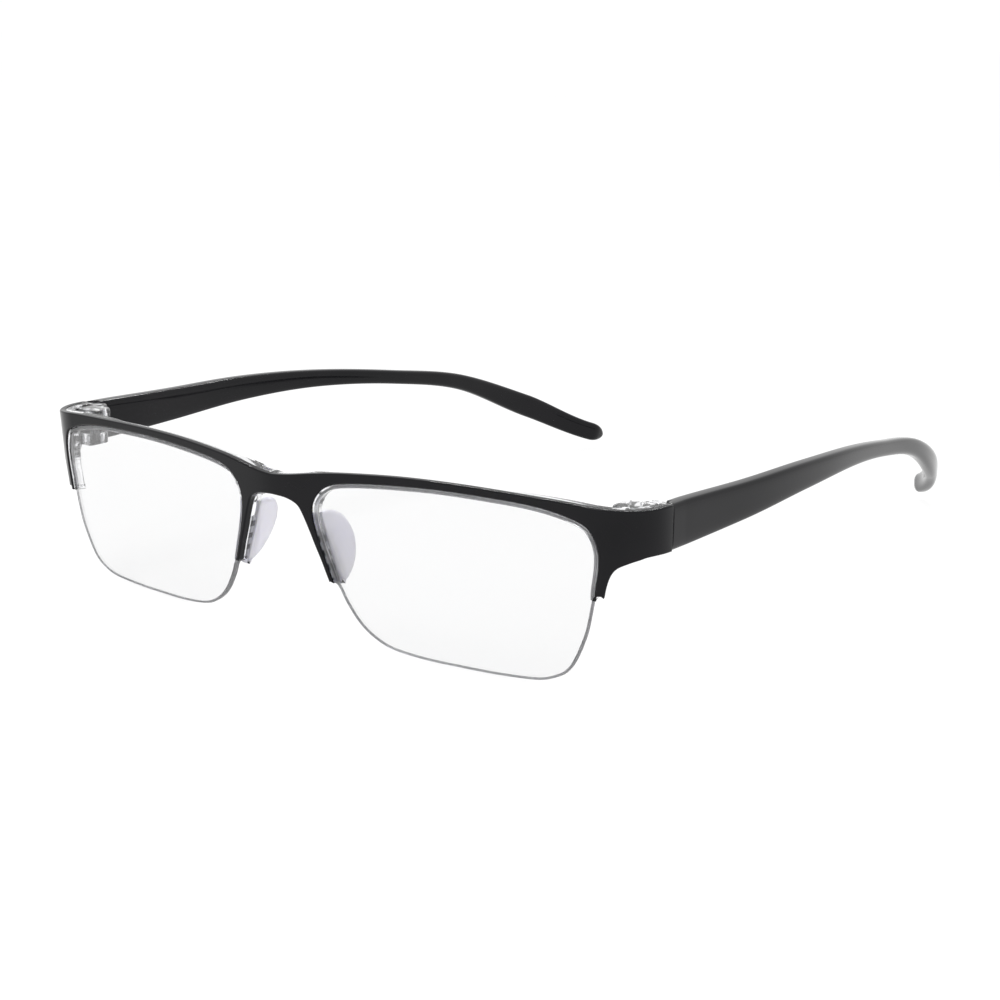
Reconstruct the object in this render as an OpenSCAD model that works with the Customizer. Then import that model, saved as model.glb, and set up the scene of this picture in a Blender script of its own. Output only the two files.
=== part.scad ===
// Half rim reading glasses: two-layer moulded front, cord-held lenses,
// slot-in silicone nose pads and long curved temples on screwed hinges.
// Millimetres. +Z is up, the front faces -Y, the temples run back along +Y.
// X = 0 is the plane of symmetry. The lens edges and temple tips rest on Z = 0.

/* [Front] */
// Width over both temples at the hinges
frame_w = 137.6; // [136:0.2:139]
// Thickness of the black outer layer
skin_t = 1.2; // [1.0:0.1:1.3]
// Thickness of the clear inner layer
liner_t = 1.8; // [1.7:0.1:2.0]
// Forward lean of the front in degrees
lean = 5.6; // [4:0.2:7]
// Sweep-back of the front for each millimetre outwards
wrap = 0.166; // [0.15:0.002:0.18]
// Width of the clear lip round each lens opening
lip_w = 0.8; // [0.6:0.1:1.0]

/* [Lenses] */
// Thickness of a lens
lens_t = 1.2; // [1.0:0.1:1.4]
// Diameter of the nylon lens cord
cord_d = 0.5; // [0.4:0.05:0.6]

/* [Nose pads] */
// Thickness of a silicone pad
pad_t = 2.2; // [1.8:0.1:2.6]
// Splay of a pad from the vertical in degrees
pad_splay = 20; // [17:1:22]
// Length of the slot that takes the pad core
slot_l = 9; // [7:0.5:10]

/* [Temples] */
// Length of a temple seen from above
temple_l = 161; // [155:1:168]
// Height of a temple at the hinge
temple_h = 8; // [7.2:0.1:8.2]
// Height of a temple at its slimmest
waist_h = 3.9; // [3:0.1:4.4]
// Thickness of a temple
temple_t = 3.0; // [2.6:0.1:3.2]
// Inward curl of the tail in degrees
curl = 38; // [36:1:48]

/* [Hinges] */
// Outer radius of the hinge knuckles
knuckle_r = 2.1; // [1.9:0.05:2.15]
// Diameter of the hinge screw
screw_d = 1.2; // [1.0:0.1:1.4]
// Height of the temple knuckle
knuckle_h = 2.7; // [2.4:0.1:3.0]

/* [Hidden] */
$fn = 64;

half_w = frame_w / 2;
corner_r = 12;
pivot_z = 15;
butt_y = 18.9;
hinge_x = half_w - 3.6;
hinge_y = butt_y;
stub_z = 27.6;
knuckle_z = stub_z - knuckle_h / 2;
ear_gap = 0.1;
back_d = skin_t + liner_t;
lens_d = skin_t - 0.6;
cord_depth = lens_d + lens_t / 2;
pad_x = 9.5;
pad_z = 16.5;

function sm(t) = let (u = min(1, max(0, t))) u * u * (3 - 2 * u);
function rev(p) = [for (i = [len(p) - 1 : -1 : 0]) p[i]];
function flip(p) = [for (q = rev(p)) [-q[0], q[1]]];

// Smooth curve through the points p with n steps between neighbours
function cr(a, b, c, d, t) = 0.5 * (2 * b + (c - a) * t + (2 * a - 5 * b + 4 * c - d) * t * t
    + (3 * b - a - 3 * c + d) * t * t * t);
function curve(p, n = 3) = let (m = len(p) - 1) concat(
    [for (i = [0 : m - 1]) for (k = [0 : n - 1])
        cr(p[max(0, i - 1)], p[i], p[i + 1], p[min(m, i + 2)], k / n)],
    [p[m]]);

// The open path p moved sideways by d, positive to its left
function shift(p, d) = [for (i = [0 : len(p) - 1])
    let (v = p[min(len(p) - 1, i + 1)] - p[max(0, i - 1)], l = norm(v))
    p[i] + d * [-v[1], v[0]] / l];

// Plan of the front: distance back from the bridge at x, and its slope angle
function back(x) = wrap * (sqrt(x * x + 9) - 3) - 0.00048 * x * x;
function slope(x) = atan(wrap * x / sqrt(x * x + 9) - 0.00096 * x);
arc_a = slope(half_w - corner_r);
arc_x = half_w - corner_r + corner_r * sin(arc_a);
arc_c = [half_w - corner_r, back(arc_x) + corner_r * cos(arc_a)];
// Right half of the front's plan at depth d below its outer surface
function plan(d) = concat(
    [for (i = [0 : 26]) let (x = arc_x * i / 26, a = slope(x))
        [x - d * sin(a), back(x) + d * cos(a)]],
    [for (i = [1 : 14]) let (a = arc_a - 90 + (90 - arc_a) * i / 14)
        arc_c + (corner_r - d) * [cos(a), sin(a)]],
    [[half_w - d, 32]]);

// Front-view outlines of the right half, X against Z
top_edge = curve([[0, 30.1], [3.5, 30.4], [9, 31.25], [14.5, 31.9], [25.5, 32.6], [37, 32.75],
    [48, 32.55], [57, 32.3], [62, 31.95], [66, 31.6], [74, 31.4]]);
under_edge = curve([[74, 23.7], [68.4, 23.65], [66.8, 23.2], [65.4, 22.6], [64.2, 21.9],
    [63.4, 20.7], [62.8, 18.8], [62.4, 16.7]]);
opening = curve([[60.95, 16.1], [61.05, 18], [61.6, 21.8], [61.6, 24.9], [60.7, 27.5], [59, 29.1],
    [54.6, 30.3], [49.5, 30.95], [43, 31.2], [34, 31.3], [26.4, 31.05], [19.5, 30.6], [15, 30.1],
    [12.3, 29.5], [10.3, 28.4], [8.8, 26.6], [8.2, 24.6], [8.4, 22], [8.9, 19.8], [9.5, 17.7],
    [10.2, 15.6], [10.85, 13.6], [11.5, 11.7]]);
nose_edge = curve([[10.75, 11.8], [10.15, 13.4], [9.35, 15.7], [8.35, 18.2], [7.3, 21],
    [6.4, 23.2], [5.5, 24.9], [4.3, 25.7], [2.6, 26.2], [0, 26.4]]);
half_front = concat(top_edge, under_edge, [[61.8, 15.6]], opening, [[11.2, 10.9]], nose_edge);
front_outline = concat(half_front, flip(half_front));

lens_low = curve([[12.6, 10.7], [13.4, 8.9], [14.4, 7.2], [15.5, 5.6], [17, 4], [19.1, 2.5],
    [22.3, 1.15], [28.4, 0.35], [36, 0.14], [43, 0.16], [50.2, 0.65], [53.9, 1.95], [55.8, 3.4],
    [57, 5.2], [58.1, 7.5], [59.4, 10.6], [60.3, 14.2]]);
lens_top = shift(opening, 0.3);
lens_outline = concat(lens_top, lens_low);

// Cord route: out of the nasal arm, round the lens groove, into the outer arm
cord_route = concat(curve([[10.6, 15.2], [11.5, 12.8]], 2), lens_low, [[60.75, 16.2], [60.9, 18.5]]);

// Temple headings, centre heights and section heights at equal steps along its plan
temple_turn = [-1, -2.1, 1.8, 7.3, 8.1, 7.6, 19, curl];
temple_rise = [27.6, 27.65, 28.05, 27.27, 24.8, 20.8, 12.2, 3.2];
temple_tall = [temple_h, 6.7, 5.2, waist_h, 3.35, 4, 5.9, 4.6];
function along(v, s) = let (m = len(v) - 1, t = min(m - 0.0001, max(0, m * s / temple_l)),
    i = floor(t)) cr(v[max(0, i - 1)], v[i], v[i + 1], v[min(m, i + 2)], t - i);
function heading(s) = along(temple_turn, s);
function drop(s) = (along(temple_rise, s - 0.5) - along(temple_rise, s + 0.5));
function tall(s) = along(temple_tall, s);
stub_l = 4.6;
stub_y = butt_y + 0.1;
tip_r = 3.2;
function tip(s) = s < temple_l - tip_r ? 1 : sqrt(1.06 - pow((s - temple_l + tip_r) / tip_r, 2));
steps = 40;
stations = concat([for (i = [0 : steps]) stub_l - 0.4 + (temple_l - tip_r - stub_l) * i / steps],
    [for (i = [1 : 4]) temple_l - tip_r + tip_r * sin(90 * i / 4)]);
outer_path = [for (i = 0, p = [half_w, stub_y + stub_l - 0.4]; i < len(stations); i = i + 1,
    p = i < len(stations) ? let (s = (stations[i] + stations[i - 1]) / 2,
            d = stations[i] - stations[i - 1], h = heading(s))
        p + d * [-sin(h), cos(h)] : p) [p[0], p[1], i == 0 ? stub_z : along(temple_rise, stations[i])]];
side_n = 12;
function lobe(c, q) = sign(c) * pow(abs(c), q);
// Unit outline of a temple's section at s, from 1 at the faces
function outline(s) = let (q = 0.42 + 0.3 * sm(s / 130)) [for (k = [0 : side_n - 1])
    let (w = 15 + 360 * k / side_n)
    [lobe(cos(w), q) / lobe(cos(15), q), lobe(sin(w), q) / lobe(sin(75), q)]];
function ring(i) = let (s = stations[i], h = i == 0 ? 0 : heading(s),
        v = i == 0 ? 0 : atan(drop(s)), a = temple_t / 2, e = i == 0 ? 0.98 : tip(s),
        b = tall(s) / 2 * cos(v) * e, n = [-cos(h), -sin(h), 0],
        u = [-sin(h) * sin(v), cos(h) * sin(v), cos(v)], c = outer_path[i] + a * n)
    [for (p = outline(s)) c - a * (0.35 + 0.65 * e) * p[0] * n + b * p[1] * u];
stub_points = [for (p = outline(stub_l))
    [half_w - temple_t / 2 + temple_t / 2 * p[0], stub_z + tall(stub_l) / 2 * p[1]]];
rings = [for (i = [0 : len(stations) - 1]) ring(i)];
temple_points = [for (r = rings) for (p = r) p];
tip_y = max([for (p = temple_points) p[1]]);
front_y = min([for (p = half_front) if (p[0] < 40) back(p[0]) / cos(lean)
    - tan(lean) * (p[1] - pivot_z)]);
origin_y = (tip_y + front_y) / 2;

module place() {
  translate([0, -origin_y, 0])
    children();
}

// A plan shape raised into a wall that leans with the front
module leaning(points) {
  translate([0, 0, pivot_z])
    rotate([lean, 0, 0])
      linear_extrude(height = 60, center = true)
        polygon(points);
}

// The front's material between depths a and b
module band(a, b) {
  leaning(concat(flip(plan(a)), plan(a), rev(plan(b)), rev(flip(plan(b)))));
}

// Everything on the right half further back than depth d
module behind(d) {
  leaning(concat([[-1, 26], [-1, back(0) + d]], plan(d)));
}

// A front-view outline carried straight back
module sight(points) {
  translate([0, 40, 0])
    rotate([90, 0, 0])
      linear_extrude(height = 60)
        polygon(points);
}

module both() {
  children();
  mirror([1, 0, 0])
    children();
}

module side(s) {
  if (s < 0)
    mirror([1, 0, 0])
      children();
  else
    children();
}

module post(r, z0, z1) {
  translate([hinge_x, hinge_y, z0])
    cylinder(r = r, h = z1 - z0);
}

// Strip between two sideways shifts of a path
module strip(p, a, b) {
  sight(concat(shift(p, a), rev(shift(p, b))));
}

module cut_at_butt() {
  intersection() {
    children();
    translate([-100, -20, -5])
      cube([200, 20 + butt_y - 0.05, 60]);
  }
}

module front_face() {
  color([0.03, 0.03, 0.035])
    place()
      cut_at_butt()
        intersection() {
          band(0, skin_t);
          sight(front_outline);
        }
}

module lens_body() {
  intersection() {
    band(lens_d, lens_d + lens_t);
    sight(lens_outline);
  }
}

module cord_body(extra) {
  r = cord_d / 2 + extra;
  intersection() {
    band(cord_depth - r, cord_depth + r);
    strip(cord_route, -0.1 - extra, cord_d - 0.1 + extra);
  }
}

module core_body(extra) {
  intersection() {
    band(back_d - 1 - extra, back_d + 1.3 + extra);
    translate([pad_x, 0, pad_z])
      rotate([0, -pad_splay, 0])
        translate([-0.45 - extra, -5, -slot_l / 2 - extra])
          cube([0.9 + 2 * extra, 20, slot_l + 2 * extra]);
  }
}

module hinge_block() {
  top = knuckle_z + knuckle_h + 2.25;
  low = knuckle_z - 1.9;
  intersection() {
    behind(skin_t);
    translate([hinge_x - 5, butt_y - 5.7, low])
      cube([half_w - skin_t - hinge_x + 5, 5.2, top - low]);
  }
  post(knuckle_r, low, top);
  translate([hinge_x - knuckle_r, butt_y - 1.5, low])
    cube([2 * knuckle_r, 1.5, top - low]);
}

module liner_half() {
  top = knuckle_z + knuckle_h + 2.25;
  difference() {
    union() {
      intersection() {
        band(lens_d - 0.3, back_d);
        strip(opening, 0.05, lip_w);
      }
      hinge_block();
    }
    lens_body();
    cord_body(0.02);
    core_body(0.02);
    post(knuckle_r + 0.2, knuckle_z - ear_gap, knuckle_z + knuckle_h + ear_gap);
    post(screw_d / 2 + 0.02, 20, 33);
    post(1.17, top - 0.6, 33);
  }
}

liner_top = [for (p = top_edge) if (p[0] < 71)
    p - [0, 0.1 + 0.35 * sm((p[0] - 8) / 6) * (1 - sm((p[0] - 44) / 5))]];
half_liner = concat(liner_top, [[71, 31.3]], under_edge, [[61.8, 15.6]], shift(opening, 0.1),
    [[11.2, 10.9]], nose_edge);
liner_outline = concat(half_liner, flip(half_liner));
bridge_half = concat([[0, 29.6], [4, 29.9], [9, 30.7], [9, 25.6], [6.6, 25.1]],
    curve([[5.5, 24.9], [4.3, 25.7], [2.6, 26.2], [0, 26.4]]));

module front_liner() {
  color([0.86, 0.87, 0.9])
    place()
      liner_body();
}

module liner_body() {
  difference() {
    union() {
      cut_at_butt()
        intersection() {
          band(skin_t, back_d);
          sight(liner_outline);
        }
      intersection() {
        band(skin_t, back_d + 1.5);
        sight(concat(bridge_half, flip(bridge_half)));
      }
    }
    both() {
      lens_body();
      cord_body(0.02);
      core_body(0.02);
      post(knuckle_r + 0.2, knuckle_z - ear_gap, knuckle_z + knuckle_h + ear_gap);
      post(screw_d / 2 + 0.02, 20, 33);
      post(1.17, knuckle_z + knuckle_h + 1.65, 33);
    }
  }
  both()
    liner_half();
}

module lens(s) {
  color([0.9, 0.93, 0.95, 0.4])
    place()
      side(s)
        difference() {
          lens_body();
          cord_body(0.02);
        }
}

module lens_cord(s) {
  color([0.8, 0.8, 0.82])
    place()
      side(s)
        cord_body(0);
}

module pad_core(s) {
  color([0.6, 0.6, 0.64])
    place()
      side(s)
        core_body(0);
}

pad_outline = concat([[-5, -5.9]], curve([[3.4, -5.9], [5.6, -5.4], [7.8, -3.6], [9.2, -1.1],
    [9.9, 1.8], [9.5, 4.5], [8.2, 6.6], [5.8, 7.8], [3, 8]]), [[-5, 8]]);

module nose_pad(s) {
  color([0.82, 0.81, 0.88])
    place()
      side(s)
        difference() {
          intersection() {
            behind(back_d + 0.01);
            translate([pad_x, 0, pad_z])
              rotate([0, -pad_splay, 0])
                translate([-pad_t / 2, 0, 0])
                  rotate([90, 0, 90])
                    linear_extrude(height = pad_t)
                      polygon(pad_outline);
          }
          core_body(0.02);
        }
}

module temple(s) {
  n = len(rings);
  color([0.04, 0.04, 0.045])
    place()
      side(s)
        union() {
          temple_root();
          polyhedron(points = temple_points, faces = concat(
            [[for (k = [side_n - 1 : -1 : 0]) k]],
            [for (i = [0 : n - 2]) for (k = [0 : side_n - 1])
              let (j = (k + 1) % side_n, a = i * side_n, b = a + side_n)
              each [[a + k, b + j, b + k], [a + k, a + j, b + j]]],
            [[for (k = [0 : side_n - 1]) (n - 1) * side_n + k]]));
        }
}

// The first millimetres of a temple with its hinge knuckle
module temple_root() {
  difference() {
    union() {
      difference() {
        translate([0, stub_y + stub_l, 0])
          rotate([90, 0, 0])
            linear_extrude(height = stub_l)
              polygon(stub_points);
        post(knuckle_r + 0.2, 20, knuckle_z);
        post(knuckle_r + 0.2, knuckle_z + knuckle_h, 34);
      }
      post(knuckle_r, knuckle_z, knuckle_z + knuckle_h);
    }
    post(screw_d / 2 + 0.05, 20, 33);
  }
}

module hinge_screw(s) {
  top = knuckle_z + knuckle_h + 2.25;
  color([0.75, 0.75, 0.77])
    place()
      side(s)
        difference() {
          union() {
            post(screw_d / 2, knuckle_z - 1.8, top - 0.3);
            post(1.15, top - 0.58, top - 0.05);
          }
          translate([hinge_x - 1.5, hinge_y - 0.14, top - 0.3])
            cube([3, 0.28, 1]);
        }
}

front_face();
front_liner();
lens(1);  // lens_left
lens(-1);  // lens_right
lens_cord(1);  // lens_cord_left
lens_cord(-1);  // lens_cord_right
nose_pad(1);  // nose_pad_left
nose_pad(-1);  // nose_pad_right
pad_core(1);  // pad_core_left
pad_core(-1);  // pad_core_right
temple(1);  // temple_left
temple(-1);  // temple_right
hinge_screw(1);  // hinge_screw_left
hinge_screw(-1);  // hinge_screw_right
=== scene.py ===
import math

import bpy
import numpy as np
from mathutils import Matrix, Vector
from mathutils.geometry import delaunay_2d_cdt


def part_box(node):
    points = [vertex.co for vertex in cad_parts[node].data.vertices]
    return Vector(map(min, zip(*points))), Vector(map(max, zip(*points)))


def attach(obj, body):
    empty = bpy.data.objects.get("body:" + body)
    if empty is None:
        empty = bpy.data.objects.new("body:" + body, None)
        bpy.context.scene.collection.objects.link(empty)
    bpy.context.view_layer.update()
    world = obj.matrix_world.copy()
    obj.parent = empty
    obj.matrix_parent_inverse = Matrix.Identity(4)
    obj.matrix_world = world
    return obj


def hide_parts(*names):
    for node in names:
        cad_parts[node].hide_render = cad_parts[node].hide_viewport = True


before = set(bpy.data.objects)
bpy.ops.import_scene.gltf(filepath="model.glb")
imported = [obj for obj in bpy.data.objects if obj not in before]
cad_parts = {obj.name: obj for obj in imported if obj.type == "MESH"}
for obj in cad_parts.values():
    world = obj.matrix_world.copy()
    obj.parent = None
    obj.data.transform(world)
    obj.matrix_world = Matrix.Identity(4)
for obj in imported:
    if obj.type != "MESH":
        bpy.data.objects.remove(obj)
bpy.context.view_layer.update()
MM = 0.001

# ---------------------------------------------------------------- dimensions
# The CAD part's own dimensions, in millimetres; the frame's boxes give the rest.
face_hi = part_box("front_face")[1]
HALF_W = face_hi.x / MM
BUTT_Y = 18.85
ORIGIN_Y = BUTT_Y - face_hi.y / MM
SKIN_T, LINER_T, LENS_T = 1.2, 1.8, 1.2
BACK_D = SKIN_T + LINER_T
LENS_D = SKIN_T - 0.6
LEAN = math.radians(5.6)
WRAP, UNWRAP, NOSE_R = 0.166, 0.00048, 3.0
CORNER_R = 12.0
PIVOT_Z = 15.0
HINGE_X, HINGE_Y = HALF_W - 3.6, 18.9
KNUCKLE_Z, KNUCKLE_H, KNUCKLE_R = 26.25, 2.7, 2.1
KNUCKLE_TOP = KNUCKLE_Z + KNUCKLE_H
EAR_TOP, EAR_LOW = 31.2, 24.35
KNUCKLE_GAP, KNUCKLE_BORE = 0.2, 0.65
EAR_R, EAR_BORE, SINK_R, SINK_Z = 2.1, 0.62, 1.17, 30.45
CUT_LOW, CUT_TOP = 20, 34
CORD_R = 0.25
LENS_GAP, GROOVE_D = 0.3, 0.3
SEAM = 0.01
SIDES = ((1, "left"), (-1, "right"))


def w(p):
    """A point of the CAD's working frame, in millimetres, as row-frame metres."""
    return Vector((p[0] * MM, (p[1] - ORIGIN_Y) * MM, p[2] * MM))


# ---------------------------------------------------------------- camera
# Angles in degrees, the rest in millimetres.
CAM_AZIMUTH, CAM_RISE, CAM_ROLL = 35.5, 13.7, 0.92
CAM_DISTANCE, CAM_LENS, CAM_SENSOR = 377.86, 68.03, 36
TARGET, TARGET_RIGHT, TARGET_DOWN = Vector((0, 60, 15)), 4.15, 1.07


def make_camera():
    az, el = math.radians(CAM_AZIMUTH), math.radians(CAM_RISE)
    back = Vector((math.sin(az) * math.cos(el), -math.cos(az) * math.cos(el), math.sin(el)))
    right = Vector((math.cos(az), math.sin(az), 0))
    up = back.cross(right)
    target = TARGET + right * TARGET_RIGHT - up * TARGET_DOWN
    data = bpy.data.cameras.new("camera")
    data.lens, data.sensor_width = CAM_LENS, CAM_SENSOR
    data.clip_start, data.clip_end = 0.02, 60
    cam = bpy.data.objects.new("camera", data)
    bpy.context.scene.collection.objects.link(cam)
    cam.location = w(target + back * CAM_DISTANCE)
    turn = Matrix.Rotation(math.radians(CAM_ROLL), 3, "Z")
    cam.rotation_mode = "QUATERNION"
    basis = Matrix((right, up, back)).transposed() @ turn
    cam.rotation_quaternion = basis.to_quaternion()
    bpy.context.scene.camera = cam


make_camera()


# ---------------------------------------------------------------- outline maths
def smooth(t):
    """Eases from 0 to 1 as t goes from 0 to 1, and is flat outside."""
    t = min(1.0, max(0.0, t))
    return t * t * (3 - 2 * t)


def curve(points, n=6):
    """Smooth curve through the points, n steps between neighbours."""
    p = [np.array(q, float) for q in points]
    m, out = len(p) - 1, []
    for i in range(m):
        a, b, c, d = p[max(0, i - 1)], p[i], p[i + 1], p[min(m, i + 2)]
        for k in range(n):
            t = k / n
            out.append(0.5 * (2 * b + (c - a) * t + (2 * a - 5 * b + 4 * c - d) * t * t
                              + (3 * b - a - 3 * c + d) * t ** 3))
    return out + [p[m]]


def shift(path, d, closed=False):
    """The path moved sideways by d, positive to its left."""
    p, n = np.array(path, float), len(path)
    d = np.broadcast_to(np.asarray(d, float), (n,))
    if closed:
        v = np.roll(p, -1, 0) - np.roll(p, 1, 0)
    else:
        v = p[np.minimum(n - 1, np.arange(n) + 1)] - p[np.maximum(0, np.arange(n) - 1)]
    v /= np.maximum(1e-9, np.linalg.norm(v, axis=1))[:, None]
    return p + d[:, None] * np.stack([-v[:, 1], v[:, 0]], 1)


def resample(path, step, closed=True):
    """The path as evenly spaced points, about a step apart."""
    p = np.array(path, float)
    if closed:
        p = np.vstack([p, p[:1]])
    seg = np.linalg.norm(np.diff(p, axis=0), axis=1)
    keep = np.r_[True, seg > 1e-6]
    p = p[keep]
    seg = np.linalg.norm(np.diff(p, axis=0), axis=1)
    s = np.r_[0, np.cumsum(seg)]
    n = max(8, int(round(s[-1] / step)))
    t = np.linspace(0, s[-1], n + 1)
    out = np.stack([np.interp(t, s, p[:, k]) for k in range(p.shape[1])], 1)
    return out[:-1] if closed else out


def back_of(x):
    """How far the front's surface lies back at x."""
    return WRAP * (math.sqrt(x * x + NOSE_R ** 2) - NOSE_R) - UNWRAP * x * x


def slope_of(x):
    """Angle of the front's plan at x."""
    return math.atan(WRAP * x / math.sqrt(x * x + NOSE_R ** 2) - 2 * UNWRAP * x)


ARC_A = slope_of(HALF_W - CORNER_R)
ARC_X = HALF_W - CORNER_R + CORNER_R * math.sin(ARC_A)
ARC_C = (HALF_W - CORNER_R, back_of(ARC_X) + CORNER_R * math.cos(ARC_A))
_xs = np.linspace(0, ARC_X, 241)
_ds = np.sqrt(1 + np.tan([slope_of(x) for x in _xs]) ** 2)
_len = np.r_[0, np.cumsum((_ds[1:] + _ds[:-1]) / 2 * np.diff(_xs))]
U_ARC = float(_len[-1])
U_SIDE = U_ARC + CORNER_R * (math.pi / 2 - ARC_A)


def u_of_x(x):
    """Distance along the front's plan, from the bridge, of the surface point at x."""
    s, x = (1 if x >= 0 else -1), abs(x)
    if x <= ARC_X:
        return s * float(np.interp(x, _xs, _len))
    c = min(1.0, max(-1.0, (x - ARC_C[0]) / CORNER_R))
    return s * (U_ARC + CORNER_R * (math.asin(c) - ARC_A))


def plan(u, d):
    """Plan point and inward-normal angle at distance u, d below the outer surface."""
    s, u = (1 if u >= 0 else -1), abs(u)
    if u <= U_ARC:
        x = float(np.interp(u, _len, _xs))
        a = slope_of(x)
        return s * (x - d * math.sin(a)), back_of(x) + d * math.cos(a), s * a
    if u <= U_SIDE:
        a = ARC_A + (u - U_ARC) / CORNER_R
        return (s * (ARC_C[0] + (CORNER_R - d) * math.sin(a)),
                ARC_C[1] - (CORNER_R - d) * math.cos(a), s * a)
    return s * (HALF_W - d), ARC_C[1] + u - U_SIDE, s * math.pi / 2


def on_front(u, z, d):
    """Row-frame point d below the front's surface."""
    x, y, _ = plan(u, d)
    return w((x, y / math.cos(LEAN) - math.tan(LEAN) * (z - PIVOT_Z), z))


def axes_at(u):
    """Unit tangents along u and z, and the outward normal, of the front's surface."""
    a = plan(u, 0)[2]
    tu = Vector((math.cos(a), math.sin(a) / math.cos(LEAN), 0))
    tz = Vector((0, -math.tan(LEAN), 1))
    n = tu.cross(tz)
    return tu.normalized(), tz.normalized(), n.normalized()


def butt_u(z):
    """Distance along the plan where the front ends, at height z."""
    return U_SIDE + (BUTT_Y + math.tan(LEAN) * (z - PIVOT_Z)) * math.cos(LEAN) - ARC_C[1]


def in_u(path):
    """An X-Z outline as distances along the front's plan."""
    out = []
    for x, z in path:
        if x < HALF_W - 0.02:
            out.append((u_of_x(x), z))
    return out


TOP_EDGE = [(0, 30.1), (3.5, 30.4), (9, 31.25), (14.5, 31.9), (25.5, 32.6), (37, 32.75),
            (48, 32.55), (57, 32.3), (62, 31.95), (66, 31.6), (74, 31.4)]
UNDER_EDGE = [(74, 23.7), (68.4, 23.65), (66.8, 23.2), (65.4, 22.6), (64.2, 21.9), (63.4, 20.7),
              (62.8, 18.8), (62.4, 16.7)]
OPENING = [(60.95, 16.1), (61.05, 18), (61.6, 21.8), (61.6, 24.9), (60.7, 27.5), (59, 29.1),
           (54.6, 30.3), (49.5, 30.95), (43, 31.2), (34, 31.3), (26.4, 31.05), (19.5, 30.6),
           (15, 30.1), (12.3, 29.5), (10.3, 28.4), (8.8, 26.6), (8.2, 24.6), (8.4, 22),
           (8.9, 19.8), (9.5, 17.7), (10.2, 15.6), (10.85, 13.6), (11.5, 11.7)]
NOSE_EDGE = [(10.75, 11.8), (10.15, 13.4), (9.35, 15.7), (8.35, 18.2), (7.3, 21), (6.4, 23.2),
             (5.5, 24.9), (4.3, 25.7), (2.6, 26.2), (0, 26.4)]
LENS_LOW = [(12.6, 10.7), (13.4, 8.9), (14.4, 7.2), (15.5, 5.6), (17, 4), (19.1, 2.5),
            (22.3, 1.15), (28.4, 0.35), (36, 0.14), (43, 0.16), (50.2, 0.65), (53.9, 1.95),
            (55.8, 3.4), (57, 5.2), (58.1, 7.5), (59.4, 10.6), (60.3, 14.2)]
top_edge, under_edge = curve(TOP_EDGE), curve(UNDER_EDGE)
opening, nose_edge, lens_low = curve(OPENING), curve(NOSE_EDGE), curve(LENS_LOW)


def round_tip(a, b, n=7):
    """Half-round end from a to b, bulging to the right of the way from a to b."""
    a, b = np.array(a, float), np.array(b, float)
    c, r = (a + b) / 2, (a - b) / 2
    side = np.array([r[1], -r[0]])
    return [c + r * math.cos(math.pi * i / n) - side * math.sin(math.pi * i / n)
            for i in range(1, n)]


def butt_end(z0, z1, n=14):
    """The front's end face as seen from the side, from z0 to z1."""
    return [(butt_u(z), z) for z in np.linspace(z0, z1, n)]


# ---------------------------------------------------------------- mesh building
def new_object(name, verts, faces, normals=None, mats=(), face_mats=None):
    """A smooth-shaded mesh object, with its own normals where they are given."""
    mesh = bpy.data.meshes.new(name)
    mesh.from_pydata([tuple(v) for v in verts], [], faces)
    mesh.validate(clean_customdata=False)
    for m in mats:
        mesh.materials.append(m)
    if face_mats is not None:
        mesh.polygons.foreach_set("material_index", np.array(face_mats, np.int32))
    mesh.shade_smooth()
    if normals is not None:
        mesh.normals_split_custom_set_from_vertices([tuple(n) for n in normals])
    mesh.update()
    obj = bpy.data.objects.new(name, mesh)
    bpy.context.scene.collection.objects.link(obj)
    return obj


def fill_loop(loop, grid):
    """Triangles over a closed counter-clockwise 2D loop, with inner points a grid apart."""
    loop = np.array(loop, float)
    n = len(loop)
    lo, hi = loop.min(0), loop.max(0)
    gx = np.arange(lo[0] + grid / 2, hi[0], grid)
    gz = np.arange(lo[1] + grid / 2, hi[1], grid)
    inner = []
    ax, az = loop[:, 0], loop[:, 1]
    bx, bz = np.roll(ax, -1), np.roll(az, -1)
    rise = np.where(bz == az, 1e-9, bz - az)
    for x in gx:
        for z in gz:
            cross = ((az > z) != (bz > z)) & (x < (bx - ax) * (z - az) / rise + ax)
            if cross.sum() % 2 and np.min((ax - x) ** 2 + (az - z) ** 2) > (0.45 * grid) ** 2:
                inner.append((x, z))
    pts = [Vector(p) for p in loop] + [Vector(p) for p in inner]
    edges = [(i, (i + 1) % n) for i in range(n)]
    verts, _, faces, _, _, _ = delaunay_2d_cdt(pts, edges, [], 1, 1e-7)
    return np.array([tuple(v) for v in verts]), [tuple(f) for f in faces]


def signed_area(p):
    """Area of a closed loop, positive when it runs counter-clockwise."""
    p = np.array(p)
    q = np.roll(p, -1, 0)
    return float(np.sum(p[:, 0] * q[:, 1] - q[:, 0] * p[:, 1]) / 2)


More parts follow.
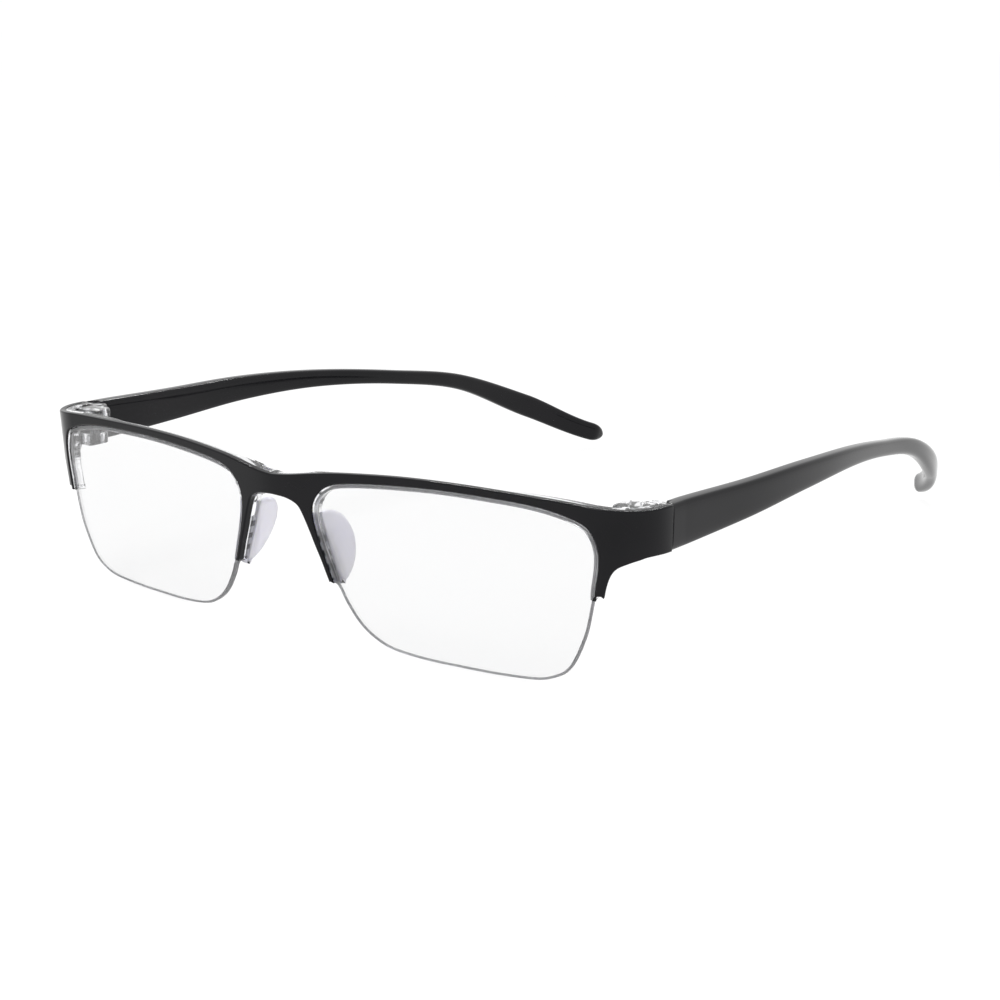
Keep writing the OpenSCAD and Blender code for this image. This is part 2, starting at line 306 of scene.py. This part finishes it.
def shell_piece(name, loop, profile, mats, grid=1.6, wall_mat=0, weight=None, profile_b=None):
    """A solid over a 2D outline on the front's surface. profile is a list of (inset, depth,
    angle) from the front cap's rim round to the back cap's rim, where the angle is in degrees
    from facing front (0) over facing out (90) to facing back (180).
    weight blends each vertex from profile to profile_b."""
    loop = np.array(loop, float)
    if signed_area(loop) < 0:
        loop = loop[::-1]
        if weight is not None:
            weight = weight[::-1]
    n = len(loop)
    weight = np.zeros(n) if weight is None else np.asarray(weight, float)
    profile_b = profile_b or profile
    v = np.roll(loop, -1, 0) - np.roll(loop, 1, 0)
    v /= np.maximum(1e-9, np.linalg.norm(v, axis=1))[:, None]
    rings, verts, normals = [], [], []
    for (ia, da, fa), (ib, db, fb) in zip(profile, profile_b):
        inset = ia + (ib - ia) * weight
        depth = da + (db - da) * weight
        face = np.radians(fa + (fb - fa) * weight)
        ring2 = shift(loop, inset, closed=True)
        base = len(verts)
        for i in range(n):
            u, z = ring2[i]
            verts.append(on_front(u, z, depth[i]))
            tu, tz, nf = axes_at(u)
            out = (tu * v[i, 1] - tz * v[i, 0]).normalized()
            normals.append((nf * math.cos(face[i]) + out * math.sin(face[i])).normalized())
        rings.append((base, ring2, depth))
    faces, fmat = [], []
    for a, b in zip(rings[:-1], rings[1:]):
        for i in range(n):
            j = (i + 1) % n
            faces.append((a[0] + i, b[0] + i, b[0] + j, a[0] + j))
            fmat.append(wall_mat)
    for which, (base, ring2, depth) in (("front", rings[0]), ("back", rings[-1])):
        pts, tris = fill_loop(ring2, grid)
        index = {}
        for k in range(len(pts)):
            if k < n:
                index[k] = base + k
                continue
            u, z = pts[k]
            near = int(np.argmin(np.sum((ring2 - pts[k]) ** 2, 1)))
            index[k] = len(verts)
            verts.append(on_front(u, z, depth[near]))
            nf = axes_at(u)[2]
            normals.append(nf if which == "front" else -nf)
        for t in tris:
            t = [index[k] for k in t]
            faces.append(tuple(t) if which == "front" else tuple(reversed(t)))
            fmat.append(0)
    return new_object(name, verts, faces, normals, mats, fmat)


def round_profile(d0, d1, r_front, r_back, n=4):
    """Profile of a plate from depth d0 to d1 with rounded front and back edges."""
    out = []
    for k in range(n + 1):
        a = math.radians(90 * k / n)
        out.append((r_front * (1 - math.sin(a)), d0 + r_front * (1 - math.cos(a)), 90 * k / n))
    for k in range(n + 1):
        a = math.radians(90 * k / n)
        out.append((r_back * (1 - math.cos(a)), d1 - r_back * (1 - math.sin(a)), 90 + 90 * k / n))
    return out


# ---------------------------------------------------------------- materials
def node_material(name, build):
    """A material with one Principled shader, which build then sets up."""
    mat = bpy.data.materials.new(name)
    mat.use_nodes = True
    nt = mat.node_tree
    nt.nodes.clear()
    out = nt.nodes.new("ShaderNodeOutputMaterial")
    bsdf = nt.nodes.new("ShaderNodeBsdfPrincipled")
    nt.links.new(bsdf.outputs[0], out.inputs[0])
    build(nt, bsdf)
    return mat


def noise(nt, scale, detail, stretch=None):
    coord = nt.nodes.new("ShaderNodeTexCoord")
    tex = nt.nodes.new("ShaderNodeTexNoise")
    tex.inputs["Scale"].default_value = scale
    tex.inputs["Detail"].default_value = detail
    if stretch:
        mapping = nt.nodes.new("ShaderNodeMapping")
        mapping.inputs["Scale"].default_value = stretch
        nt.links.new(coord.outputs["Object"], mapping.inputs[0])
        nt.links.new(mapping.outputs[0], tex.inputs[0])
    else:
        nt.links.new(coord.outputs["Object"], tex.inputs[0])
    return tex


def colour(nt, b, source, low, high, start=0.3, end=0.7):
    """Base colour from low to high as the texture goes from start to end."""
    node = nt.nodes.new("ShaderNodeValToRGB")
    for stop, place, shade in zip(node.color_ramp.elements, (start, end), (low, high)):
        stop.position = place
        stop.color = (*shade, 1)
    nt.links.new(source, node.inputs[0])
    nt.links.new(node.outputs[0], b.inputs["Base Color"])


def roughness(nt, b, source, low, high):
    """Roughness from low to high over the texture."""
    node = nt.nodes.new("ShaderNodeMapRange")
    node.inputs["To Min"].default_value = low
    node.inputs["To Max"].default_value = high
    nt.links.new(source, node.inputs[0])
    nt.links.new(node.outputs[0], b.inputs["Roughness"])


def bump(nt, bsdf, source, strength, distance):
    node = nt.nodes.new("ShaderNodeBump")
    node.inputs["Strength"].default_value = strength
    node.inputs["Distance"].default_value = distance
    nt.links.new(source, node.inputs["Height"])
    nt.links.new(node.outputs[0], bsdf.inputs["Normal"])


def black_plastic(nt, b):
    fine, broad = noise(nt, 900, 4), noise(nt, 60, 2)
    colour(nt, b, broad.outputs[0], (0.004, 0.004, 0.005), (0.0075, 0.007, 0.0085))
    roughness(nt, b, fine.outputs[0], 0.06, 0.12)
    b.inputs["IOR"].default_value = 1.5
    b.inputs["Specular IOR Level"].default_value = 0.17
    bump(nt, b, broad.outputs[0], 0.05, 0.00002)


def clear_plastic(nt, b):
    fine = noise(nt, 500, 3)
    colour(nt, b, fine.outputs[0], (0.965, 0.97, 0.985), (0.99, 0.99, 1.0))
    roughness(nt, b, fine.outputs[0], 0.0, 0.05)
    b.inputs["IOR"].default_value = 1.49
    b.inputs["Transmission Weight"].default_value = 1.0


def lens_glass(nt, b):
    broad = noise(nt, 30, 2)
    colour(nt, b, broad.outputs[0], (0.888, 0.889, 0.891), (0.894, 0.895, 0.897))
    roughness(nt, b, broad.outputs[0], 0.0, 0.012)
    b.inputs["IOR"].default_value = 1.6
    b.inputs["Transmission Weight"].default_value = 1.0


def lens_edge(nt, b):
    fine = noise(nt, 1500, 4)
    colour(nt, b, fine.outputs[0], (0.42, 0.42, 0.44), (0.62, 0.62, 0.64))
    roughness(nt, b, fine.outputs[0], 0.25, 0.45)
    b.inputs["IOR"].default_value = 1.5
    b.inputs["Transmission Weight"].default_value = 0.8


def nylon(nt, b):
    fine = noise(nt, 1200, 3)
    colour(nt, b, fine.outputs[0], (0.82, 0.82, 0.84), (0.95, 0.95, 0.96))
    roughness(nt, b, fine.outputs[0], 0.1, 0.25)
    b.inputs["IOR"].default_value = 1.53
    b.inputs["Transmission Weight"].default_value = 0.9


def silicone(nt, b):
    fine, broad = noise(nt, 1800, 4), noise(nt, 140, 2)
    colour(nt, b, broad.outputs[0], (0.84, 0.83, 0.91), (0.90, 0.89, 0.96))
    roughness(nt, b, fine.outputs[0], 0.35, 0.55)
    b.inputs["IOR"].default_value = 1.42
    b.inputs["Transmission Weight"].default_value = 0.35
    b.inputs["Subsurface Weight"].default_value = 0.6
    b.inputs["Subsurface Radius"].default_value = (0.003, 0.003, 0.0035)
    b.inputs["Subsurface Scale"].default_value = 0.5
    bump(nt, b, fine.outputs[0], 0.15, 0.00003)


def core_plastic(nt, b):
    coord = nt.nodes.new("ShaderNodeTexCoord")
    wave = nt.nodes.new("ShaderNodeTexWave")
    wave.wave_type, wave.bands_direction = "BANDS", "Z"
    wave.inputs["Scale"].default_value = 130
    wave.inputs["Distortion"].default_value = 0.6
    nt.links.new(coord.outputs["Object"], wave.inputs[0])
    colour(nt, b, wave.outputs[1], (0.10, 0.10, 0.12), (0.62, 0.62, 0.67), 0.25, 0.6)
    roughness(nt, b, wave.outputs[1], 0.2, 0.4)


def screw_steel(nt, b):
    fine = noise(nt, 900, 3, stretch=(1, 8, 1))
    colour(nt, b, fine.outputs[0], (0.62, 0.62, 0.63), (0.82, 0.82, 0.83))
    roughness(nt, b, fine.outputs[0], 0.18, 0.34)
    b.inputs["Metallic"].default_value = 1.0


def floor_paint(nt, b):
    broad = noise(nt, 3, 2)
    colour(nt, b, broad.outputs[0], (0.1, 0.1, 0.1), (0.11, 0.11, 0.11))
    b.inputs["Roughness"].default_value = 0.9
    b.inputs["Emission Color"].default_value = (1, 1, 1, 1)
    b.inputs["Emission Strength"].default_value = 0.9
    b.inputs["Specular IOR Level"].default_value = 0.0


MAT = {build.__name__: node_material(build.__name__, build) for build in (
    black_plastic, clear_plastic, lens_glass, lens_edge, nylon, silicone, core_plastic,
    screw_steel, floor_paint)}


def finish_piece(obj, body, slot, *nodes):
    """Puts a piece on its body and in place of its CAD nodes. The slot argument is not used."""
    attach(obj, body)
    if nodes:
        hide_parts(*nodes)


# ---------------------------------------------------------------- the two-layer front
def mirrored(half):
    """Closed loop from a right-half path that starts and ends on the plane of symmetry."""
    half = np.array(half, float)
    other = half[::-1].copy()
    other[:, 0] *= -1
    return np.vstack([half, other[1:-1]])


def tagged(path, weight):
    """The path's points with a lip weight each."""
    return [(p[0], p[1], weight) for p in path]


def top_gap(x):
    """How far the liner's top edge lies below the skin's at x."""
    return 0.1 + 0.35 * smooth((x - 8) / 6) * (1 - smooth((x - 44) / 5))


def right_half(liner):
    """Half of the front's outline along its plan, from the top round to the nose. The liner's
    top edge lies lower, and its opening has a lip weight of 1."""
    top = [(x, z - (top_gap(x) if liner else 0)) for x, z in top_edge]
    top_u, under_u = in_u(top), in_u(under_edge)
    path = tagged(top_u, 0) + tagged(butt_end(top_u[-1][1], under_u[0][1]), 0)
    path += tagged(under_u, 0)
    path += tagged(in_u(round_tip(under_edge[-1], opening[0])), 0)
    path += tagged(in_u(opening), 1 if liner else 0)
    path += tagged(in_u(round_tip(opening[-1], nose_edge[0])), 0) + tagged(in_u(nose_edge), 0)
    return path


front_loop = resample(mirrored(right_half(False)), 0.55)
face = shell_piece("front_shell", front_loop[:, :2],
                   round_profile(0, SKIN_T - SEAM, 0.32, 0.05), [MAT["black_plastic"]])
finish_piece(face, "front", "black_front", "front_face")

liner_loop = resample(mirrored(right_half(True)), 0.55)
# Negative insets: the lip stands out of the outline, into the opening.
lip_profile = [(0.0, 1.21, 0), (-0.03, 1.12, -70), (-0.03, 0.45, -70), (-0.12, 0.32, -20),
               (-0.60, 0.32, 15), (-0.75, 0.40, 60), (-0.80, 0.52, 90), (-0.80, 2.75, 90),
               (-0.72, 2.93, 135), (-0.55, BACK_D, 180)]
liner = shell_piece("liner_shell", liner_loop[:, :2],
                    round_profile(SKIN_T + SEAM, BACK_D, 0.1, 0.3), [MAT["clear_plastic"]],
                    weight=liner_loop[:, 2], profile_b=lip_profile)
finish_piece(liner, "front", "clear_liner", "front_liner")

GUSSET_T = 1.5
bridge_half = [(0, 29.6), (4, 29.9), (7, 30.35), (8.9, 30.6), (9, 30), (9, 26.5), (8.6, 25.5),
               (7.4, 25.2), (6.6, 25.1)] + curve([(5.5, 24.95), (4.3, 25.75), (2.6, 26.25), (0, 26.45)])
bridge = shell_piece("bridge_gusset", resample(mirrored(in_u(bridge_half)), 0.4),
                     round_profile(BACK_D + SEAM, BACK_D + GUSSET_T, 0.02, 0.5), [MAT["clear_plastic"]],
                     grid=1.2)
finish_piece(bridge, "front", "clear_liner")


# ---------------------------------------------------------------- lenses and their cords
def lens_loop():
    """A lens's outline: just inside the opening, then the free lower edge."""
    top = shift(opening, LENS_GAP)
    return resample(in_u(list(top) + lens_low), 0.5)


def lens_rim():
    """Profile of a lens edge: small bevels, ground wall and the cord's groove."""
    f, b, m, g = LENS_D, LENS_D + LENS_T, LENS_D + LENS_T / 2, GROOVE_D
    return [(0.10, f, 0), (0.03, f + 0.03, 45), (0, f + 0.1, 90), (0, m - 0.24, 90),
            (0.02, m - 0.22, 150), (g, m - 0.2, 150), (g + 0.03, m - 0.15, 90),
            (g + 0.03, m + 0.15, 90), (g, m + 0.2, 30), (0.02, m + 0.22, 30),
            (0, m + 0.24, 90), (0, b - 0.1, 90), (0.03, b - 0.03, 135), (0.10, b, 180)]


lens_profile = lens_rim()


def flipped(loop, side):
    """The loop as it is for side 1, mirrored for side -1."""
    out = np.array(loop, float)
    out[:, 0] *= side
    return out


def tube(name, points, radius, mat, sides=12):
    """A round bar along the points, with flat ends."""
    pts = [Vector(p) for p in points]
    verts, faces = [], []
    for i, p in enumerate(pts):
        t = (pts[min(len(pts) - 1, i + 1)] - pts[max(0, i - 1)]).normalized()
        a = t.cross(Vector((0, 1, 0))).normalized()
        b = t.cross(a).normalized()
        for k in range(sides):
            ang = 2 * math.pi * k / sides
            verts.append(p + (a * math.cos(ang) + b * math.sin(ang)) * radius)
    for i in range(len(pts) - 1):
        for k in range(sides):
            j = (k + 1) % sides
            faces.append((i * sides + k, i * sides + j, (i + 1) * sides + j, (i + 1) * sides + k))
    faces.append(tuple(range(sides - 1, -1, -1)))
    faces.append(tuple((len(pts) - 1) * sides + k for k in range(sides)))
    obj = new_object(name, verts, faces, None, [mat])
    obj.data.set_sharp_from_angle(angle=math.radians(50))
    return obj


cord_route = curve([(10.6, 15.2), (11.5, 12.8)], 4) + lens_low + [(60.75, 16.2), (60.9, 18.5)]
for side, tag in SIDES:
    lens = shell_piece("lens_blank_" + tag, flipped(lens_loop(), side), lens_profile,
                       [MAT["lens_glass"], MAT["lens_edge"]], grid=3.0, wall_mat=1)
    finish_piece(lens, "front", "lens", "lens_" + tag)
    mid = resample(shift(cord_route, CORD_R - 0.1), 0.7, closed=False)
    cord = tube("lens_thread_" + tag,
                [on_front(side * u_of_x(x), z, LENS_D + LENS_T / 2) for x, z in mid],
                CORD_R * MM, MAT["nylon"])
    finish_piece(cord, "front", "nylon_cord", "lens_cord_" + tag)


# ---------------------------------------------------------------- nose pads
PAD_C, PAD_T, PAD_A = Vector((9.5, 0, 16.5)), 2.2, math.radians(20)


def pad_piece(tag, side):
    """A nose pad: a plate with rounded edges, leaning with the nose and bent at the rear."""
    ex = Vector((math.cos(PAD_A), 0, math.sin(PAD_A)))
    ez = Vector((-math.sin(PAD_A), 0, math.cos(PAD_A)))
    rear = curve([(3.6, -5.6), (5.5, -5.15), (7.6, -3.5), (9.1, -1.1), (9.8, 1.8), (9.4, 4.4),
                  (8.1, 6.5), (5.8, 7.65), (3.1, 7.8)])
    loop = resample([(3.8, -5.0), (3.5, -5.5)] + rear + [(2.75, 7.6), (2.9, 6.2)], 0.3)
    if side < 0:
        ex, ez = Vector((-ex.x, 0, ex.z)), Vector((-ez.x, 0, ez.z))
    verts, faces, normals = [], [], []
    if signed_area(loop) < 0:
        loop = loop[::-1]
    n = len(loop)
    v = np.roll(loop, -1, 0) - np.roll(loop, 1, 0)
    v /= np.linalg.norm(v, axis=1)[:, None]
    centre = Vector((side * PAD_C.x, 0, PAD_C.z))
    r, half = 0.95, PAD_T / 2
    prof = []
    for k in range(9):
        a = math.radians(90 * k / 8)
        prof.append((r * (1 - math.sin(a)), half - r * (1 - math.cos(a)), 90 * k / 8))
    prof += [(i, -t, 180 - f) for i, t, f in reversed(prof)]

    def put(y, s, t):
        # the plate bends away from the nose towards its rear edge
        lean_out = 0.035 * max(0.0, y - 3.2) ** 1.6
        p = centre + ez * s + Vector((0, y, 0)) + ex * (t + lean_out)
        return w(p)

    # the rounding is smaller at the front edge
    share = np.clip((loop[:, 0] - 2.2) / 1.6, 0.25, 1)
    for inset, t, f in prof:
        ring = shift(loop, inset * share, closed=True)
        for i in range(n):
            verts.append(put(ring[i, 0], ring[i, 1], t))
            out = Vector((0, v[i, 1], 0)) - ez * v[i, 0]
            f_r = math.radians(f)
            normals.append((ex * math.cos(f_r) + out * math.sin(f_r)).normalized())
    rings = len(prof)
    for a in range(rings - 1):
        for i in range(n):
            j = (i + 1) % n
            q = (a * n + i, (a + 1) * n + i, (a + 1) * n + j, a * n + j)
            faces.append(q if side > 0 else q[::-1])
    for base, flip_it in ((0, side < 0), ((rings - 1) * n, side > 0)):
        inset, t, f = prof[0] if base == 0 else prof[-1]
        ring = shift(loop, inset * share, closed=True)
        pts, tris = fill_loop(ring, 0.9)
        index = {}
        for k in range(len(pts)):
            index[k] = base + k if k < n else len(verts)
            if k >= n:
                verts.append(put(pts[k][0], pts[k][1], t))
                normals.append(ex if base == 0 else -ex)
        for tri in tris:
            tri = tuple(index[k] for k in tri)
            faces.append(tri[::-1] if flip_it else tri)
    return new_object("pad_body_" + tag, verts, faces, normals, [MAT["silicone"]])


for side, tag in SIDES:
    finish_piece(pad_piece(tag, side), "front", "silicone", "nose_pad_" + tag)


# ---------------------------------------------------------------- temples
STUB_Y0, STUB_L, STUB_T, STUB_Z = 19.0, 4.2, 3.0, 27.6
STUB_BLEND, TALL_FROM = 4, 4.6
TEMPLE_L, TEMPLE_TIP, TEMPLE_SCALE = 161.0, 3.2, 0.998
# Heading in degrees, height and section height, at even steps along a temple.
TURN = (-1, -2.1, 1.8, 7.3, 8.1, 7.6, 19, 38)
RISE = (27.6, 27.65, 28.05, 27.27, 24.8, 20.8, 12.2, 3.2)
TALL = (8, 6.7, 5.2, 3.9, 3.35, 4, 5.9, 4.6)


def along(v, s):
    """Value at plan distance s of a smooth curve through v, spread evenly along a temple."""
    m = len(v) - 1
    t = min(m - 1e-4, max(0.0, m * s / TEMPLE_L))
    i = int(t)
    a, b, c, d, t = v[max(0, i - 1)], v[i], v[i + 1], v[min(m, i + 2)], t - i
    return 0.5 * (2 * b + (c - a) * t + (2 * a - 5 * b + 4 * c - d) * t * t
                  + (3 * b - a - 3 * c + d) * t ** 3)


def temple_heading(s):
    return math.radians(along(TURN, s))


def temple_drop(s):
    return along(RISE, s - 0.5) - along(RISE, s + 0.5)


def temple_tall(s):
    return along(TALL, s)


def temple_tip(s):
    """Share of the full section at s: 1, then falling round the tip."""
    start = TEMPLE_L - TEMPLE_TIP
    return 1.0 if s < start else math.sqrt(max(0.02, 1.0 - ((s - start) / TEMPLE_TIP) ** 2 * 0.98))


def temple_path(step=0.25):
    """The temple's outer line from the end of its stub, as (distance, point) pairs."""
    x, y, s = HALF_W, STUB_Y0 + STUB_L, STUB_L
    path = [(s, (x, y, STUB_Z))]
    while s < TEMPLE_L - 1e-6:
        d = min(step, TEMPLE_L - s)
        h = temple_heading(s + d / 2)
        x, y, s = x - d * math.sin(h), y + d * math.cos(h), s + d
        lift = (STUB_Z - along(RISE, STUB_L)) * (1 - smooth((s - STUB_L) / STUB_BLEND))
        path.append((s, (x, y, along(RISE, s) + lift)))
    return path


def even_section(a, b, q, sides):
    """Points of a superellipse with half sizes a and b, spread evenly with more at the corners."""
    dense, fine, corner_share = [], 720, 1.3
    for k in range(fine):
        t = 2 * math.pi * k / fine
        c, s = math.cos(t), math.sin(t)
        dense.append((a * math.copysign(abs(c) ** q, c), b * math.copysign(abs(s) ** q, s)))
    pts, nrm = [], []
    p = np.array(dense)
    turn = np.roll(p, -1, 0) - p
    seg = np.linalg.norm(turn, axis=1)
    ang = np.unwrap(np.arctan2(turn[:, 1], turn[:, 0]))
    bend = np.abs(np.r_[np.diff(ang), 0])
    cost = seg / seg.sum() + corner_share * bend / max(1e-9, bend.sum())
    cum = np.r_[0, np.cumsum(cost)]
    for k in range(sides):
        target = cum[-1] * k / sides
        x = np.interp(target, cum, np.r_[p[:, 0], p[0, 0]])
        y = np.interp(target, cum, np.r_[p[:, 1], p[0, 1]])
        pts.append((x, y))
        gx = math.copysign((abs(x) / a) ** (2 / q - 1) / a, x)
        gy = math.copysign((abs(y) / b) ** (2 / q - 1) / b, y)
        g = math.hypot(gx, gy) or 1
        nrm.append((gx / g, gy / g))
    return pts, nrm


def temple_piece(tag, side, sides=40):
    """A temple swept along its path, from its flat butt to its round tip."""
    path = temple_path()
    s_all = np.array([s for s, _ in path])
    p_all = np.array([p for _, p in path])
    tip_at = TEMPLE_L - TEMPLE_TIP
    butt_share = {0.0: 0.955, 0.12: 0.985}
    stations = [*butt_share, 0.35, 0.8, 2, 3.2] + list(np.linspace(STUB_L, tip_at, 110))
    stations += [tip_at + TEMPLE_TIP * math.sin(math.radians(90 * k / 10)) for k in range(1, 11)]
    verts, faces, normals = [], [], []
    for s in stations:
        if s < STUB_L:
            p = np.array([HALF_W, STUB_Y0 + s, STUB_Z])
            h = v = 0.0
            e = butt_share.get(s, 1.0)
        else:
            p = np.array([np.interp(s, s_all, p_all[:, k]) for k in range(3)])
            h, v, e = temple_heading(s), math.atan(temple_drop(s)), temple_tip(s)
        n = np.array([-math.cos(h), -math.sin(h), 0.0])
        u = np.array([-math.sin(h) * math.sin(v), math.cos(h) * math.sin(v), math.cos(v)])
        a = STUB_T / 2 * (0.35 + 0.65 * e) * TEMPLE_SCALE
        b = temple_tall(max(TALL_FROM, s)) / 2 * math.cos(v) * e * TEMPLE_SCALE
        q = 0.34 + 0.36 * smooth(s / 130)
        c = p + STUB_T / 2 * n
        pts, nrm = even_section(a, b, q, sides)
        for (x, z), (nx, nz) in zip(pts, nrm):
            vert = c - x * n + z * u
            verts.append(w((side * vert[0], vert[1], vert[2])))
            out = -nx * n + nz * u
            if s > tip_at:
                k = (s - TEMPLE_L + TEMPLE_TIP) / TEMPLE_TIP
                fwd = np.array([-math.sin(h), math.cos(h), -math.tan(v)])
                out = out * math.sqrt(max(0, 1 - k * k)) + fwd * k
            normals.append(Vector((side * out[0], out[1], out[2])).normalized())
    m = len(stations)
    for i in range(m - 1):
        for k in range(sides):
            j = (k + 1) % sides
            q = (i * sides + k, i * sides + j, (i + 1) * sides + j, (i + 1) * sides + k)
            faces.append(q if side < 0 else q[::-1])
    for base, rev in ((0, side < 0), ((m - 1) * sides, side > 0)):
        loop = [base + k for k in range(sides)]
        faces.append(tuple(loop[::-1] if rev else loop))
    return new_object("temple_arm_" + tag, verts, faces, normals, [MAT["black_plastic"]])


def post(name, radius, z0, z1, side, bevel=0.0, mat=None, sides=64):
    """An upright round bar on a hinge axis, with bevelled rims."""
    rings = [(radius - bevel, z0), (radius, z0 + bevel), (radius, z1 - bevel), (radius - bevel, z1)]
    if bevel == 0:
        rings = [(radius, z0), (radius, z1)]
    verts, faces = [], []
    for r, z in rings:
        for k in range(sides):
            a = 2 * math.pi * k / sides
            verts.append(w((side * HINGE_X + r * math.cos(a), HINGE_Y + r * math.sin(a), z)))
    for i in range(len(rings) - 1):
        for k in range(sides):
            j = (k + 1) % sides
            faces.append((i * sides + k, i * sides + j, (i + 1) * sides + j, (i + 1) * sides + k))
    faces.append(tuple(range(sides - 1, -1, -1)))
    faces.append(tuple((len(rings) - 1) * sides + k for k in range(sides)))
    obj = new_object(name, verts, faces, None, [mat] if mat else [])
    obj.data.set_sharp_from_angle(angle=math.radians(40))
    return obj


def cut(target, tools):
    """Cuts the tools out of the target's mesh and removes them."""
    for tool in tools:
        mod = target.modifiers.new("cut", "BOOLEAN")
        mod.operation, mod.solver, mod.object = "DIFFERENCE", "EXACT", tool
    graph = bpy.context.evaluated_depsgraph_get()
    mesh = bpy.data.meshes.new_from_object(target.evaluated_get(graph))
    target.modifiers.clear()
    target.data = mesh
    for tool in tools:
        bpy.data.objects.remove(tool)


for side, tag in SIDES:
    arm = temple_piece(tag, side)
    cut(arm, [post("cut_a", KNUCKLE_R + KNUCKLE_GAP, CUT_LOW, KNUCKLE_Z, side),
              post("cut_b", KNUCKLE_R + KNUCKLE_GAP, KNUCKLE_TOP, CUT_TOP, side)])
    finish_piece(arm, "temple_" + tag, "black_temple", "temple_" + tag)
    knuckle = post("temple_knuckle_" + tag, KNUCKLE_R, KNUCKLE_Z + 0.02, KNUCKLE_TOP - 0.02, side,
                   0.12, MAT["black_plastic"])
    cut(knuckle, [post("bore", KNUCKLE_BORE, CUT_LOW, CUT_TOP, side)])
    finish_piece(knuckle, "temple_" + tag, "black_temple")


# ---------------------------------------------------------------- hinge blocks
def extrude_plan(name, plan_pts, z0, z1, side, mat, bevel):
    """A block over a plan outline, its upright edges as given and its rims bevelled."""
    loop = np.array(plan_pts, float) * (side, 1)
    if signed_area(loop) < 0:
        loop = loop[::-1]
    n = len(loop)
    rings = []
    for k in range(5):
        a = math.radians(90 * k / 4)
        rings.append((bevel * (1 - math.sin(a)), z1 - bevel * (1 - math.cos(a))))
    rings += [(i, z0 + z1 - z) for i, z in reversed(rings)]
    verts, faces = [], []
    for inset, z in rings:
        for x, y in shift(loop, inset, closed=True):
            verts.append(w((x, y, z)))
    for i in range(len(rings) - 1):
        for k in range(n):
            j = (k + 1) % n
            faces.append((i * n + k, (i + 1) * n + k, (i + 1) * n + j, i * n + j))
    faces.append(tuple(range(n)))
    faces.append(tuple((len(rings) - 1) * n + k for k in range(n - 1, -1, -1)))
    obj = new_object(name, verts, faces, None, [mat])
    obj.data.set_sharp_from_angle(angle=math.radians(35))
    return obj


BLOCK_L, BLOCK_BACK, BLOCK_W, BLOCK_BEVEL, EAR_Y = 5.68, 0.5, 5, 0.35, 0.4


def hinge_block(tag, side):
    """The clear block behind the front's corner, with two ears for the knuckle."""
    y0, y1, x0 = HINGE_Y - BLOCK_L, HINGE_Y - BLOCK_BACK, HINGE_X - BLOCK_W
    inner = [plan(u, SKIN_T + 0.02)[:2] for u in np.linspace(u_of_x(60), butt_u(EAR_TOP), 40)]
    inner = [(x, y) for x, y in inner if y0 < y < y1]
    plan_pts = [(x0 + 0.3, y0 + 0.25), (x0 + 0.9, y0)] + inner
    plan_pts += [(HINGE_X + EAR_R, HINGE_Y - EAR_Y)]
    plan_pts += [(HINGE_X + EAR_R * math.cos(a), HINGE_Y + EAR_R * math.sin(a))
                 for a in np.linspace(0, math.pi, 15)]
    plan_pts += [(HINGE_X - EAR_R, HINGE_Y - EAR_Y), (x0 + 0.7, y1), (x0 + 0.15, y1 - 0.3),
                 (x0 + 0.02, y1 - 0.9), (x0 + 0.02, y0 + 0.8)]
    loop = resample(plan_pts, 0.35)
    block = extrude_plan("hinge_block_" + tag, loop, EAR_LOW, EAR_TOP, side,
                         MAT["clear_plastic"], BLOCK_BEVEL)
    cut(block, [post("pocket", KNUCKLE_R + KNUCKLE_GAP, KNUCKLE_Z - 0.1, KNUCKLE_TOP + 0.1, side),
                post("sink", SINK_R, SINK_Z, CUT_TOP, side),
                post("bore", EAR_BORE, CUT_LOW, CUT_TOP, side)])
    finish_piece(block, "front", "clear_liner")


for side, tag in SIDES:
    hinge_block(tag, side)

# CAD nodes shown as they are
for _, tag in SIDES:
    for node, mat in (("pad_core_", "core_plastic"), ("hinge_screw_", "screw_steel")):
        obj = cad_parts[node + tag]
        obj.data.materials.clear()
        obj.data.materials.append(MAT[mat])


# ---------------------------------------------------------------- studio
def area_light(name, at, to, size, power, size_y=None):
    """A rectangular light at one point, aimed at another."""
    data = bpy.data.lights.new(name, "AREA")
    data.shape = "RECTANGLE"
    data.size, data.size_y = size, size_y or size
    data.energy = power
    obj = bpy.data.objects.new(name, data)
    bpy.context.scene.collection.objects.link(obj)
    obj.location = Vector(at)
    obj.rotation_mode = "QUATERNION"
    obj.rotation_quaternion = (Vector(to) - Vector(at)).to_track_quat("-Z", "Y")


def floor(half=40.0, level=-0.0002):
    """A plain square just below the part."""
    corners = [(x * half, y * half, level) for x, y in ((-1, -1), (1, -1), (1, 1), (-1, 1))]
    obj = new_object("floor", corners, [(0, 1, 2, 3)], None, [MAT["floor_paint"]])


floor()
scene = bpy.context.scene
scene.view_settings.view_transform = "Standard"
world = bpy.data.worlds.new("studio")
scene.world = world
world.use_nodes = True
world.node_tree.nodes["Background"].inputs["Color"].default_value = (1, 1, 1, 1)
world.node_tree.nodes["Background"].inputs["Strength"].default_value = 1.02
area_light("key", at=(0.1, -0.7, 1.0), to=(0, 0, 0), size=0.5, power=4)
area_light("strip", at=(-0.35, 0.5, 0.75), to=(0, 0, 0.02), size=0.5, power=7, size_y=0.04)
